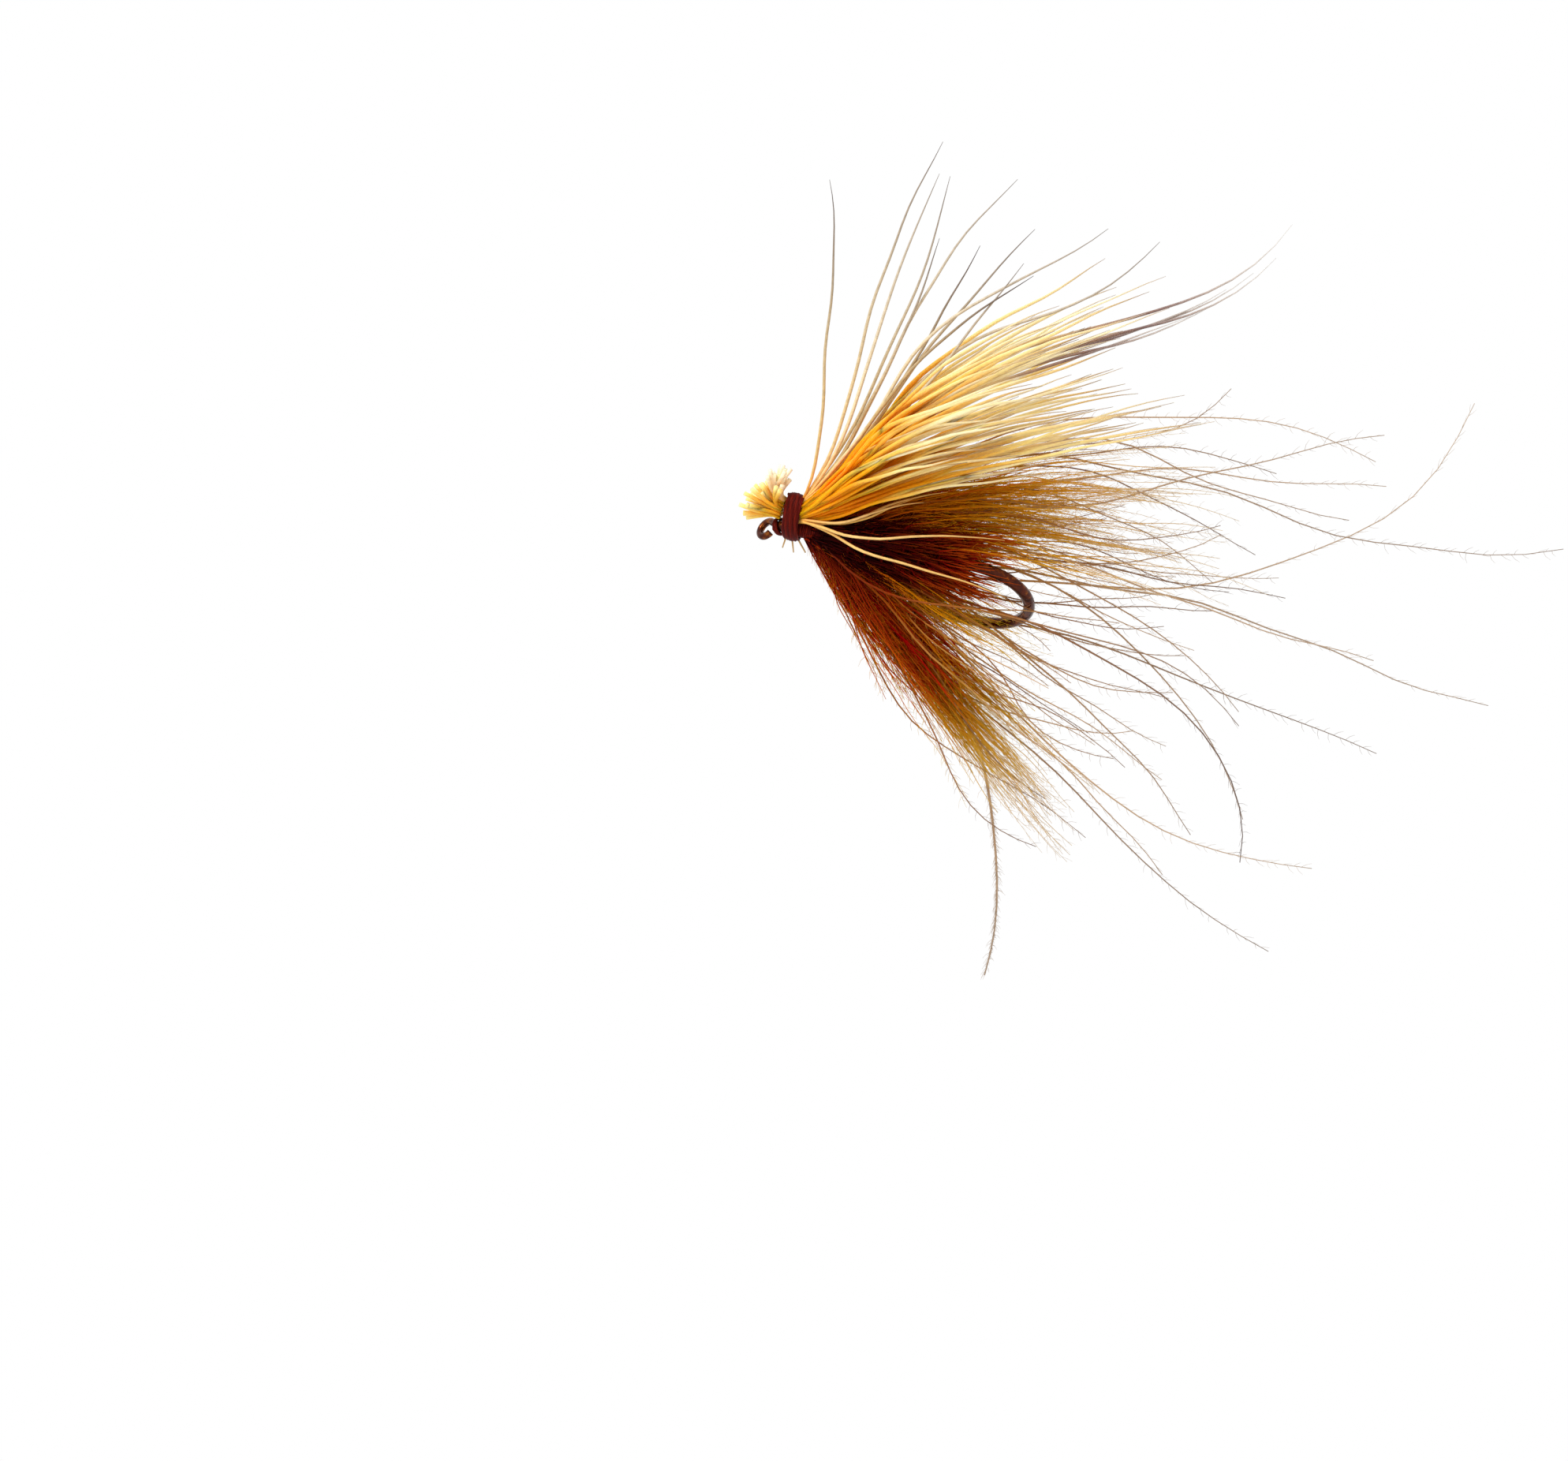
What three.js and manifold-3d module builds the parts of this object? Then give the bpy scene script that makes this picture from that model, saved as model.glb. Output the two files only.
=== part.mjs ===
// Dry fly on a size 14 down-eyed hook: deer-hair wing tied over a wound duck-down body and hackle.
// Millimetres. The origin is the centre of the hook's eye, +X runs back along the shank to the bend,
// +Z is the wing side, and the hook lies in the XZ plane with its point hanging towards -Z.
import * as THREE from "three";
import Module from "manifold-3d";

const V = (x, y, z) => new THREE.Vector3(x, y, z);
const rad = THREE.MathUtils.degToRad;

// Hook
const WIRE_R = 0.205;
const EYE_WIRE_R = 0.13;
const EYE_RING_R = 0.31;
const EYE_RING = { from: -36, to: -318, steps: 22 };
const EYE_TURN_DOWN = 35;
// Neck between eye and shank: distance from the eye's centre, sideways offset, wire radius
const NECK = [
  [0.33, 0.17, 0.135],
  [0.4, 0.12, 0.15],
  [0.47, 0.06, 0.17],
  [0.54, 0.02, 0.19],
  [0.66, 0, 0.205],
];
const SHANK_Z = 0.44;
const SHANK_START_X = 0.8;
const SHANK_END_X = 7.5;
const GAP = 3.9;
const POINT_LENGTH = 3.3;
const POINT_TAPER = 1.1;
const POINT_TIP_R = 0.03;
const POINT_RISE = 0.07;
const BARB_SETBACK = 1.0;
const BARB_LENGTH = 0.4;
const BARB_R = 0.07;
const BARB_RISE = 0.3;
const HOOK_SIDES = 12;
const SHANK_JOIN = { x: 0.66, drop: 0.02 };

// Thread: underbody, collar over the hair, and finishing wraps behind the eye
const UNDERBODY = { from: 0.74, to: 7.45, inner: 0.225, outer: 0.265 };
const COLLAR = {
  from: 0.72,
  to: 1.32,
  centre: 0.43,
  halfWidth: 0.46,
  halfHeight: 0.77,
  wall: 0.08,
  bulge: 0.05,
};
const COLLAR_SIDES = 20;
const WHIP = { from: 0.55, to: 0.67, inner: 0.25, outer: 0.31 };

// Body: radius of the wound feather along the shank, and the feather's quill wound over it
const BODY_INNER = 0.29;
const BODY_SIDES = 16;
const BODY_PROFILE = [
  [1.75, 0.33],
  [2.4, 0.46],
  [3.2, 0.6],
  [4.6, 0.68],
  [6.0, 0.6],
  [7.2, 0.42],
];
const QUILL = { from: 2.7, to: 7.1, turns: 7, stepsPerTurn: 12, r: 0.045, lift: 0.07 };

// Wing: hair leaves the collar in rows, lowest row first. The bundle has rolled towards +Y.
const WING_ROLL = 35;
const SLOT_PITCH = 0.14;
const LOCK_R = { slot: 0.06, full: 0.27, tip: 0.04, butt: 0.13, widest: 0.5 };
const HAIR_R = { slot: 0.03, full: 0.055, tip: 0.02, butt: 0.05, widest: 0.5 };
const BUTT_LENGTH = 1.1;
const BUTT_DIP = 0.1;
const MOUTH_GAP = 0.1;
const TOP_SLOT = 1.08;
const STAGGER = 0.6;
const TURN_IN = 0.35;
const WING_BOW = 0.03;
const LOCK_ROWS = [
  { height: 0.42, lift: 28, sides: [-14, -5, 5, 14], lengths: [12.5, 14.5, 14.5, 12.5], butt: 15 },
  { height: 0.56, lift: 34, sides: [-17, -8.5, 0, 8.5, 17], lengths: [11.5, 13, 13, 12.5, 12], butt: 40 },
  { height: 0.7, lift: 40, sides: [-17, -8.5, 0, 8.5, 17], lengths: [13, 15.5, 16.5, 15.5, 13.5], butt: 62 },
  { height: 0.84, lift: 47, sides: [-16, -8, 0, 8], lengths: [13, 15.5, 16, 14], butt: 82 },
];
// Loose hairs: the [turn, drop] each one runs through from the collar to its tip
const LOOSE_HAIRS = [
  { side: 0, height: 1.08, butt: 111, length: 11.5, ways: [[-95, -50], [-95, -50], [-110, -50]] },
  { side: 0.09, height: 1.01, butt: 106, length: 13.5, ways: [[-85, -45], [-70, -45], [-65, -40]] },
  { side: -0.09, height: 1.01, butt: 106, length: 12.5, ways: [[-75, -45], [-75, -45], [-70, -40]] },
  { side: -0.14, height: 0.94, butt: 96, length: 10.5, ways: [[-65, -40], [-70, -40], [-75, -45]] },
  { side: 0, height: 0.94, butt: 96, length: 19.5, ways: [[-60, -35], [-24, -15], [-19, -14], [-58, -36]] },
  { side: 0.14, height: 0.94, butt: 96, length: 19, ways: [[-58, -34], [-24, -16], [-20, -14], [-50, -32]] },
  { side: -0.37, height: 0.35, butt: 0, length: 7.8, ways: [[22, -16], [-14, -8], [-16, 0], [-6, 0]] },
  { side: -0.38, height: 0.22, butt: -5, length: 8.3, ways: [[26, -12], [2, -6], [8, 0], [14, 0]] },
];

// Hackle: down barbs. turn swings a barb to the -Y side, drop lowers it, both from +X.
const BARB_LOCK_R = { root: 0.06, full: 0.24, tip: 0.04, widest: 0.4 };
const FIBRE_R = { root: 0.03, full: 0.05, tip: 0.02, widest: 0.4 };
const BARB_DROOP = 0.05;
const BARB_ROOTS = { flattest: 3.8, widest: 1.7, flare: 62, gap: 0.03 };
const BARB_LOCKS = [
  { turn: -30, drop: 0, length: 15 },
  { turn: -22, drop: 5, length: 14 },
  { turn: -14, drop: 9, length: 14 },
  { turn: -6, drop: 12, length: 13 },
  { turn: 3, drop: 8, length: 8 },
  { turn: 8, drop: 15, length: 8 },
  { turn: -18, drop: 22, length: 15 },
  { turn: -12, drop: 36, length: 14 },
  { turn: 14, drop: 22, length: 10 },
  { turn: 20, drop: 28, length: 10 },
  { turn: 27, drop: 25, length: 13 },
  { turn: 32, drop: 32, length: 12 },
  { turn: 38, drop: 36, length: 10.5 },
  { turn: 46, drop: 39, length: 9.5 },
];
const FIBRES = [
  { length: 20.5, ways: [[-30, -12], [-15, 5], [-30, 5], [-35, 5]] },
  { length: 18.5, ways: [[53, 46], [15, 35], [70, 45], [100, 35]] },
  { length: 20, ways: [[15, 8], [-5, 10], [20, 30], [80, 40]] },
  { length: 22, ways: [[15, 35], [-10, 20], [-5, 20], [10, 20]] },
  { length: 27, ways: [[-50, -10], [-10, 10], [0, 15], [-20, 5]] },
  { length: 26, ways: [[-10, 30], [-15, 15], [-35, -5], [-65, -30]] },
  { length: 25.5, ways: [[-15, 14], [-10, 17], [0, 25], [-15, 20]] },
  { length: 22, ways: [[18, 37], [25, 30], [25, 25], [10, 10]] },
];
const TRIMMED_R = 0.03;
const TRIMMED_TIP_R = 0.018;
const TRIMMED_LEAN = 0.35;
const TRIMMED_GAP = 0.12;
const TRIMMED = [
  { x: 0.8, turn: 75, length: 0.45 },
  { x: 1.0, turn: 95, length: 0.55 },
  { x: 1.2, turn: 120, length: 0.5 },
];

const SWELL_POWER = 0.6;
const LOCK_SIDES = 6;
const LOCK_STEPS = 10;
const HAIR_STEPS = 18;
const BUTT_STEPS = 3;
const HAIR_SIDES = 5;

const wasm = await Module();
wasm.setup();

const fly = new THREE.Group();

const STEEL = new THREE.MeshStandardMaterial({ color: 0x1c1613, metalness: 0.9, roughness: 0.35 });
const THREAD = new THREE.MeshStandardMaterial({ color: 0x2a0a08, roughness: 0.5 });
const DOWN = new THREE.MeshStandardMaterial({ color: 0x4a2414, roughness: 0.9 });
const QUILL_SKIN = new THREE.MeshStandardMaterial({ color: 0x2b120c, roughness: 0.6 });
const DEER_HAIR = new THREE.MeshStandardMaterial({ color: 0xc58a35, roughness: 0.7 });

function addNode(name, geometry, material) {
  const mesh = new THREE.Mesh(geometry, material);
  mesh.name = name;
  fly.add(mesh);
}

// A closed round tube through the points, with its own radius at every point.
function tube(points, radii, sides) {
  const positions = [];
  const faces = [];
  let normal = new THREE.Vector3();
  points.forEach((point, i) => {
    const before = points[Math.max(i - 1, 0)];
    const after = points[Math.min(i + 1, points.length - 1)];
    const tangent = after.clone().sub(before).normalize();
    if (i === 0) normal.crossVectors(tangent, Math.abs(tangent.z) < 0.9 ? V(0, 0, 1) : V(0, 1, 0));
    normal.addScaledVector(tangent, -normal.dot(tangent)).normalize();
    const across = new THREE.Vector3().crossVectors(tangent, normal);
    for (let k = 0; k < sides; k++) {
      const a = (2 * Math.PI * k) / sides;
      const rim = point
        .clone()
        .addScaledVector(normal, radii[i] * Math.cos(a))
        .addScaledVector(across, radii[i] * Math.sin(a));
      positions.push(rim.x, rim.y, rim.z);
    }
  });
  const first = positions.length / 3;
  const last = first + 1;
  positions.push(...points[0].toArray(), ...points.at(-1).toArray());
  const end = (points.length - 1) * sides;
  for (let k = 0; k < sides; k++) {
    const next = (k + 1) % sides;
    faces.push(first, next, k, last, end + k, end + next);
    for (let row = 0; row < end; row += sides) {
      faces.push(row + k, row + next, row + sides + next, row + k, row + sides + next, row + sides + k);
    }
  }
  return geometryOf(positions, faces);
}

function geometryOf(positions, faces) {
  const geometry = new THREE.BufferGeometry();
  geometry.setAttribute("position", new THREE.Float32BufferAttribute(positions, 3));
  geometry.setIndex(faces);
  geometry.computeVertexNormals();
  return geometry;
}

function joined(a, b) {
  const [solidA, solidB] = [a, b].map(
    (g) =>
      new wasm.Manifold(
        new wasm.Mesh({
          numProp: 3,
          vertProperties: new Float32Array(g.attributes.position.array),
          triVerts: new Uint32Array(g.index.array),
        }),
      ),
  );
  const mesh = solidA.add(solidB).getMesh();
  return geometryOf(Array.from(mesh.vertProperties), Array.from(mesh.triVerts));
}

// A closed ring: place(point, angle) puts each point of the closed section at an angle round the ring.
function ringOf(section, sides, place) {
  const positions = [];
  const faces = [];
  const n = section.length;
  for (let k = 0; k < sides; k++) {
    section.forEach((point) => positions.push(...place(point, (2 * Math.PI * k) / sides).toArray()));
    const here = k * n;
    const there = ((k + 1) % sides) * n;
    for (let i = 0; i < n; i++) {
      const j = (i + 1) % n;
      faces.push(here + i, here + j, there + j, here + i, there + j, there + i);
    }
  }
  return geometryOf(positions, faces);
}

// A sleeve around the X axis: an outer profile of [x, radius] pairs over a straight bore.
function sleeve(profile, boreR, sides) {
  const bore = [[profile.at(-1)[0], boreR], [profile[0][0], boreR]];
  return ringOf([...profile, ...bore], sides, ([x, r], a) => V(x, r * Math.sin(a), r * Math.cos(a)));
}

function hookWire() {
  const back = V(Math.cos(rad(EYE_TURN_DOWN)), 0, Math.sin(rad(EYE_TURN_DOWN)));
  const inEye = (along, aside) => back.clone().multiplyScalar(along).add(V(0, aside, 0));
  const points = [];
  const radii = [];
  const put = (point, r) => {
    points.push(point);
    radii.push(r);
  };
  for (let i = 0; i <= EYE_RING.steps; i++) {
    const angle = rad(THREE.MathUtils.lerp(EYE_RING.from, EYE_RING.to, i / EYE_RING.steps));
    put(inEye(EYE_RING_R * Math.cos(angle), EYE_RING_R * Math.sin(angle)), EYE_WIRE_R);
  }
  NECK.forEach(([along, aside, r]) => put(inEye(along, aside), r));
  put(V(SHANK_JOIN.x, 0, SHANK_Z - SHANK_JOIN.drop), WIRE_R);
  put(V(SHANK_START_X, 0, SHANK_Z), WIRE_R);
  put(V(SHANK_END_X / 2, 0, SHANK_Z), WIRE_R);
  const bendR = GAP / 2;
  for (let angle = 0; angle <= 180; angle += 10) {
    const reach = bendR * Math.sin(rad(angle));
    const fall = bendR * (1 - Math.cos(rad(angle)));
    put(V(SHANK_END_X + reach, 0, SHANK_Z - fall), WIRE_R);
  }
  const pointZ = SHANK_Z - GAP;
  const pointX = SHANK_END_X - POINT_LENGTH;
  put(V(pointX + POINT_TAPER, 0, pointZ), WIRE_R);
  put(V(pointX + POINT_TAPER / 2, 0, pointZ + POINT_RISE / 2), (WIRE_R + POINT_TIP_R) / 2);
  put(V(pointX, 0, pointZ + POINT_RISE), POINT_TIP_R);
  const barbRoot = V(pointX + BARB_SETBACK - BARB_LENGTH, 0, pointZ);
  const barbTip = barbRoot.clone().add(V(BARB_LENGTH, 0, BARB_RISE));
  const barb = tube([barbRoot, barbTip], [BARB_R, POINT_TIP_R], HAIR_SIDES);
  return joined(tube(points, radii, HOOK_SIDES), barb);
}

function bodyRadius(x) {
  const i = Math.max(1, BODY_PROFILE.findIndex(([at]) => at >= x));
  const [x0, r0] = BODY_PROFILE[i - 1];
  const [x1, r1] = BODY_PROFILE[i];
  return THREE.MathUtils.clamp(r0 + ((x - x0) / (x1 - x0)) * (r1 - r0), Math.min(r0, r1), Math.max(r0, r1));
}

function quillHelix() {
  const steps = QUILL.turns * QUILL.stepsPerTurn;
  const points = [];
  for (let i = 0; i <= steps; i++) {
    const x = THREE.MathUtils.lerp(QUILL.from, QUILL.to, i / steps);
    const a = (2 * Math.PI * i) / QUILL.stepsPerTurn;
    const r = bodyRadius(x) + QUILL.lift;
    points.push(V(x, r * Math.sin(a), SHANK_Z + r * Math.cos(a)));
  }
  return tube(points, points.map(() => QUILL.r), HAIR_SIDES);
}

// The collar is an oval sleeve round the shank and the hair, in the rolled wing frame.
function threadCollar() {
  const { from, to, centre, halfWidth, halfHeight, wall, bulge } = COLLAR;
  const section = [[from, wall], [(from + to) / 2, wall + bulge], [to, wall], [to, 0], [from, 0]];
  const place = ([x, out], a) =>
    wingPoint(x, (halfWidth + out) * Math.sin(a), centre + (halfHeight + out) * Math.cos(a));
  return ringOf(section, COLLAR_SIDES, place);
}

// A point given along the shank, and across and above it in the frame of the rolled wing.
function wingPoint(x, side, up) {
  const c = Math.cos(rad(WING_ROLL));
  const s = Math.sin(rad(WING_ROLL));
  return V(x, side * c + up * s, SHANK_Z - side * s + up * c);
}

function wingDirection(lift, turn) {
  const [l, t] = [rad(lift), rad(turn)];
  return V(Math.cos(l) * Math.cos(t), Math.sin(t), Math.sin(l) * Math.cos(t));
}

// Radius of a lock or hair at t along it: thin at its root, full at the widest point, fine at the tip.
function swellAndFade(t, root, { full, tip, widest }) {
  if (t < widest) return THREE.MathUtils.lerp(root, full, (t / widest) ** SWELL_POWER);
  return THREE.MathUtils.lerp(full, tip, (t - widest) / (1 - widest));
}

// A centreline from root that turns through the ways, which are spaced evenly along it.
function path(root, ways, length) {
  const points = [root];
  for (let i = 0; i < HAIR_STEPS; i++) {
    const at = ((i + 0.5) / HAIR_STEPS) * (ways.length - 1);
    const k = Math.floor(at);
    const way = ways[k].clone().lerp(ways[k + 1], at - k).normalize();
    points.push(points.at(-1).clone().addScaledVector(way, length / HAIR_STEPS));
  }
  return points;
}

function barbWay([turn, drop]) {
  const [t, d] = [rad(turn), rad(drop)];
  return V(Math.cos(t) * Math.cos(d), -Math.sin(t) * Math.cos(d), -Math.sin(d));
}

// The part of a hair that all of them share: the cut butt in front of the collar and the run through it.
// The lower a hair lies in the collar, the farther out it starts to turn, so the rows fan apart.
function hairRoot({ side, height, turn = 0, butt }, r) {
  const clear = MOUTH_GAP + STAGGER * (TOP_SLOT - height);
  const front = V(COLLAR.from - clear, side, height);
  const rear = V(COLLAR.to + clear, side, height);
  const buttWay = V(-Math.cos(rad(butt)), Math.sin(rad(turn * 2)), Math.sin(rad(butt))).normalize();
  const points = [];
  const radii = [];
  for (let i = BUTT_STEPS; i >= 1; i--) {
    const t = i / BUTT_STEPS;
    const dip = V(-BUTT_DIP * (1 - t) * t, 0, 0);
    points.push(front.clone().addScaledVector(buttWay, BUTT_LENGTH * t).add(dip));
    radii.push(THREE.MathUtils.lerp(r.slot, r.butt, Math.sqrt(t)));
  }
  points.push(front, rear);
  radii.push(r.slot, r.slot);
  return { points, radii };
}

function wingLock(lock) {
  const r = LOCK_R;
  const { points, radii } = hairRoot(lock, r);
  const way = wingDirection(lock.lift, lock.turn);
  const start = points.at(-1).clone().addScaledVector(way.clone().add(V(1, 0, 0)).normalize(), TURN_IN);
  for (let i = 0; i <= LOCK_STEPS; i++) {
    const t = i / LOCK_STEPS;
    const bow = WING_BOW * lock.length * Math.sin(Math.PI * t);
    points.push(start.clone().addScaledVector(way, lock.length * t).add(V(0, 0, bow)));
    radii.push(swellAndFade(t, r.slot, r));
  }
  return tube(points.map((p) => wingPoint(p.x, p.y, p.z)), radii, LOCK_SIDES);
}

function looseHair(hair) {
  const r = HAIR_R;
  const { points: rolled, radii } = hairRoot(hair, r);
  const points = rolled.map((p) => wingPoint(p.x, p.y, p.z));
  const ways = hair.ways.map(barbWay);
  const start = points.at(-1).clone().addScaledVector(ways[0].clone().add(V(1, 0, 0)).normalize(), TURN_IN);
  const line = path(start, ways, hair.length);
  line.forEach((point, i) => {
    points.push(point);
    radii.push(swellAndFade(i / HAIR_STEPS, r.slot, r));
  });
  return tube(points, radii, HAIR_SIDES);
}

function addWing() {
  let count = 0;
  for (const { height, lift, sides, lengths, butt } of LOCK_ROWS) {
    sides.forEach((turn, i) => {
      count += 1;
      const side = (i - (sides.length - 1) / 2) * SLOT_PITCH;
      const lock = { side, height, lift, turn, length: lengths[i], butt };
      addNode("wing_lock_" + count, wingLock(lock), DEER_HAIR);
    });
  }
  LOOSE_HAIRS.forEach((hair, i) => addNode("wing_hair_" + (i + 1), looseHair(hair), DEER_HAIR));
}

// A barb starts on the body's surface: the wider it flares, the nearer the collar it starts.
function barbRoot(way, r) {
  const flare = Math.acos(way.x);
  const x = THREE.MathUtils.lerp(BARB_ROOTS.flattest, BARB_ROOTS.widest, flare / rad(BARB_ROOTS.flare));
  const across = V(0, way.y, way.z).normalize();
  const reach = bodyRadius(x) + QUILL.lift + QUILL.r + r.root + BARB_ROOTS.gap;
  return V(x, 0, SHANK_Z).addScaledVector(across, reach);
}

function barbLock({ turn, drop, length }) {
  const r = BARB_LOCK_R;
  const way = barbWay([turn, drop]);
  const root = barbRoot(way, r);
  const across = V(0, way.y, way.z).normalize();
  const points = [];
  const radii = [];
  for (let i = 0; i <= LOCK_STEPS; i++) {
    const t = i / LOCK_STEPS;
    const droop = BARB_DROOP * length * Math.sin(Math.PI * t);
    points.push(root.clone().addScaledVector(way, length * t).addScaledVector(across, droop));
    radii.push(swellAndFade(t, r.root, r));
  }
  return tube(points, radii, LOCK_SIDES);
}

function fibre({ length, ways }) {
  const r = FIBRE_R;
  const directions = ways.map(barbWay);
  const points = path(barbRoot(directions[0], r), directions, length);
  const radii = points.map((_, i) => swellAndFade(i / HAIR_STEPS, r.root, r));
  return tube(points, radii, HAIR_SIDES);
}

// A short cut barb standing out under the collar.
function trimmedBarb({ x, turn, length }) {
  const way = V(-Math.cos(rad(turn)), -TRIMMED_LEAN, -Math.sin(rad(turn))).normalize();
  const root = wingPoint(x, 0, COLLAR.centre - COLLAR.halfHeight - COLLAR.wall - TRIMMED_GAP);
  return tube([root, root.clone().addScaledVector(way, length)], [TRIMMED_R, TRIMMED_TIP_R], HAIR_SIDES);
}

function addThread() {
  const { from, to, inner, outer } = UNDERBODY;
  const underbody = sleeve([[from, outer], [to, outer]], inner, HOOK_SIDES);
  addNode("thread_underbody", underbody.translate(0, 0, SHANK_Z), THREAD);
  addNode("thread_collar", threadCollar(), THREAD);
  const whip = sleeve([[WHIP.from, WHIP.outer], [WHIP.to, WHIP.outer]], WHIP.inner, HOOK_SIDES);
  addNode("whip_finish_wraps", whip.rotateY(-rad(EYE_TURN_DOWN)), THREAD);
}

function addBody() {
  const body = sleeve(BODY_PROFILE, BODY_INNER, BODY_SIDES);
  addNode("wound_feather_body", body.translate(0, 0, SHANK_Z), DOWN);
  addNode("feather_quill", quillHelix(), QUILL_SKIN);
}

addNode("hook", hookWire(), STEEL);
addThread();
addBody();
addWing();
BARB_LOCKS.forEach((lock, i) => addNode("hackle_lock_" + (i + 1), barbLock(lock), DOWN));
FIBRES.forEach((barb, i) => addNode("hackle_fibre_" + (i + 1), fibre(barb), DOWN));
TRIMMED.forEach((cut, i) => addNode("trimmed_barb_" + (i + 1), trimmedBarb(cut), DOWN));

export default fly;
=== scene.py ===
"""Looks of the dry fly: hook wire, thread wraps, deer-hair wing, down body and hackle, and the white stage.

Lengths in the tables are millimetres and angles are degrees. The frame is the part's own: the hook's eye
is at the origin, +X runs back to the bend and +Z is the wing side.
"""

import math

import bpy
import numpy as np
from mathutils import Matrix, Vector


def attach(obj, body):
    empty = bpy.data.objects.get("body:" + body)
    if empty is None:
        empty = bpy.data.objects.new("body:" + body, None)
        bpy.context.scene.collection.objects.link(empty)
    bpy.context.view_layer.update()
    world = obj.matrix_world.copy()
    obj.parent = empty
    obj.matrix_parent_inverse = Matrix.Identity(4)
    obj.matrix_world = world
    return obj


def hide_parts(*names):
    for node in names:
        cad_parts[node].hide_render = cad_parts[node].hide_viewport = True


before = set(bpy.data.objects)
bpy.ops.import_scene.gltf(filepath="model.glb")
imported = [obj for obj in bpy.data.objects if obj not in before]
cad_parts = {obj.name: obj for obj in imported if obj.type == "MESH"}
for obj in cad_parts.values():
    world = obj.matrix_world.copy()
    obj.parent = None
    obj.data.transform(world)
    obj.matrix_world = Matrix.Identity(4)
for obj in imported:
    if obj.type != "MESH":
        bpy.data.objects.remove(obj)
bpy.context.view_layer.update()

MM = 0.001
TINY = 1e-12
rng = np.random.default_rng(14)

# Camera: it looks down on the fly's left flank from behind the bend
CAMERA_AZIMUTH = 28
CAMERA_ELEVATION = 58
CAMERA_ROLL = -12.5
CAMERA_DISTANCE = 100
CAMERA_AIM_RIGHT = 0.6
CAMERA_AIM_UP = -7.1
CAMERA_LENS = 65.2
CAMERA_SENSOR = 36
CAMERA_CLIP = (0.001, 10)

# Hook
WIRE_R = 0.205
EYE_WIRE_R = 0.13
EYE_RING_R = 0.31
EYE_TURN_DOWN = 35
EYE_RING_FROM = -36
EYE_RING_TO = -318
EYE_RING_POINTS = 32
# Neck, from the eye's centre: distance back, sideways offset, wire radius
NECK = [(0.33, 0.17, 0.135), (0.4, 0.12, 0.15), (0.47, 0.06, 0.17), (0.54, 0.02, 0.19)]
# The neck's last points before the shank, as x and z
NECK_JOIN = [(0.58, 0.4), (0.68, 0.43)]
SHANK_Z = 0.44
SHANK_START_X = 0.85
SHANK_END_X = 7.5
SHANK_POINTS = 8
WIRE_SIDES = 20
GAP = 3.9
BEND_STEP = 5
POINT_LENGTH = 3.3
# Along the point: distance behind the tip, rise above the lower leg, radius
POINT_TAPER = [(1.1, 0, WIRE_R), (0.8, 0.01, 0.185), (0.5, 0.03, 0.135), (0.2, 0.06, 0.07), (0, 0.08, 0.02)]
POINT_BARB = [(0.6, 0.02, 0.08), (0.8, 0.19, 0.06), (1.0, 0.32, 0.02)]
POINT_BARB_SIDES = 8

# Collar, in the wing's rolled frame
WING_ROLL = 35
COLLAR_FROM = 0.72
COLLAR_TO = 1.32
COLLAR_CENTRE = 0.43
COLLAR_HALF_WIDTH = 0.46
COLLAR_HALF_HEIGHT = 0.77

# Thread: its wraps stand a little proud of what they bind, and the collar and the finishing wraps swell
# towards the middle
THREAD_R = 0.04
THREAD_JITTER = 0.006
THREAD_SIDES = 6
THREAD_TINT = 0.4
# Its shade and girth go up and down along it by this many radians in each step, and its girth by this share
THREAD_SHADE_PACE = 0.37
THREAD_GIRTH_PACE = 1.9
THREAD_GIRTH_SWING = 0.12
THREAD_STEPS_PER_TURN = 28
COLLAR_TURNS = 11
COLLAR_WRAP_INSET = 0.02
COLLAR_WRAP_CLEAR = 0.03
COLLAR_WRAP_SWELL = 0.06
WHIP_TURNS = 5
WHIP_FROM = 0.55
WHIP_LENGTH = 0.16
WHIP_R = 0.26
WHIP_SWELL = 0.03
UNDERBODY_TURNS = 90
UNDERBODY_STEPS_PER_TURN = 14
UNDERBODY_FROM = 0.76
UNDERBODY_LENGTH = 6.65
UNDERBODY_R = 0.245

# Wing locks, lowest row first: height in the collar, lift above the shank, extra rise where the hair leaves
# the collar, the palest tint, sideways turns, lengths, and how far the cut butts stand up
SLOT_PITCH = 0.14
SLOT_JITTER = 0.06
WING_ROWS = [
    dict(height=0.42, lift=28, rise=7, tint=0.5, butt=-5,
         turns=[-10, -3, 4, 11], lengths=[13, 15.5, 15, 12.5]),
    dict(height=0.56, lift=32, rise=11, tint=0.8, butt=22,
         turns=[-15, -8, 0, 8, 16], lengths=[12, 13.5, 13, 12.5, 12]),
    dict(height=0.7, lift=37.5, rise=15, tint=1, butt=50,
         turns=[-16, -8, 0, 8, 16], lengths=[13, 15.5, 16.5, 15.5, 13.5]),
    dict(height=0.84, lift=42.5, rise=17, tint=1, butt=80,
         turns=[-15, -5, 5, 15], lengths=[13, 15.5, 16, 14]),
]
# How much of a row's extra rise is left along a hair, from the collar to its tip
WING_ARC = (1, 0.2, -0.4, -0.6)
HAIRS_PER_LOCK = 7
HAIR_R = 0.095
HAIR_STEPS = 22
HAIR_SIDES = 6
HAIR_TIP_R = 0.008
HAIR_TAPER_POWER = 3
# A hair is pinched to this share of its radius at the collar, and widens at this rate along its length
HAIR_PINCH = 0.6
HAIR_PINCH_EASE = 3
HAIR_TUCK = 0.1
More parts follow.
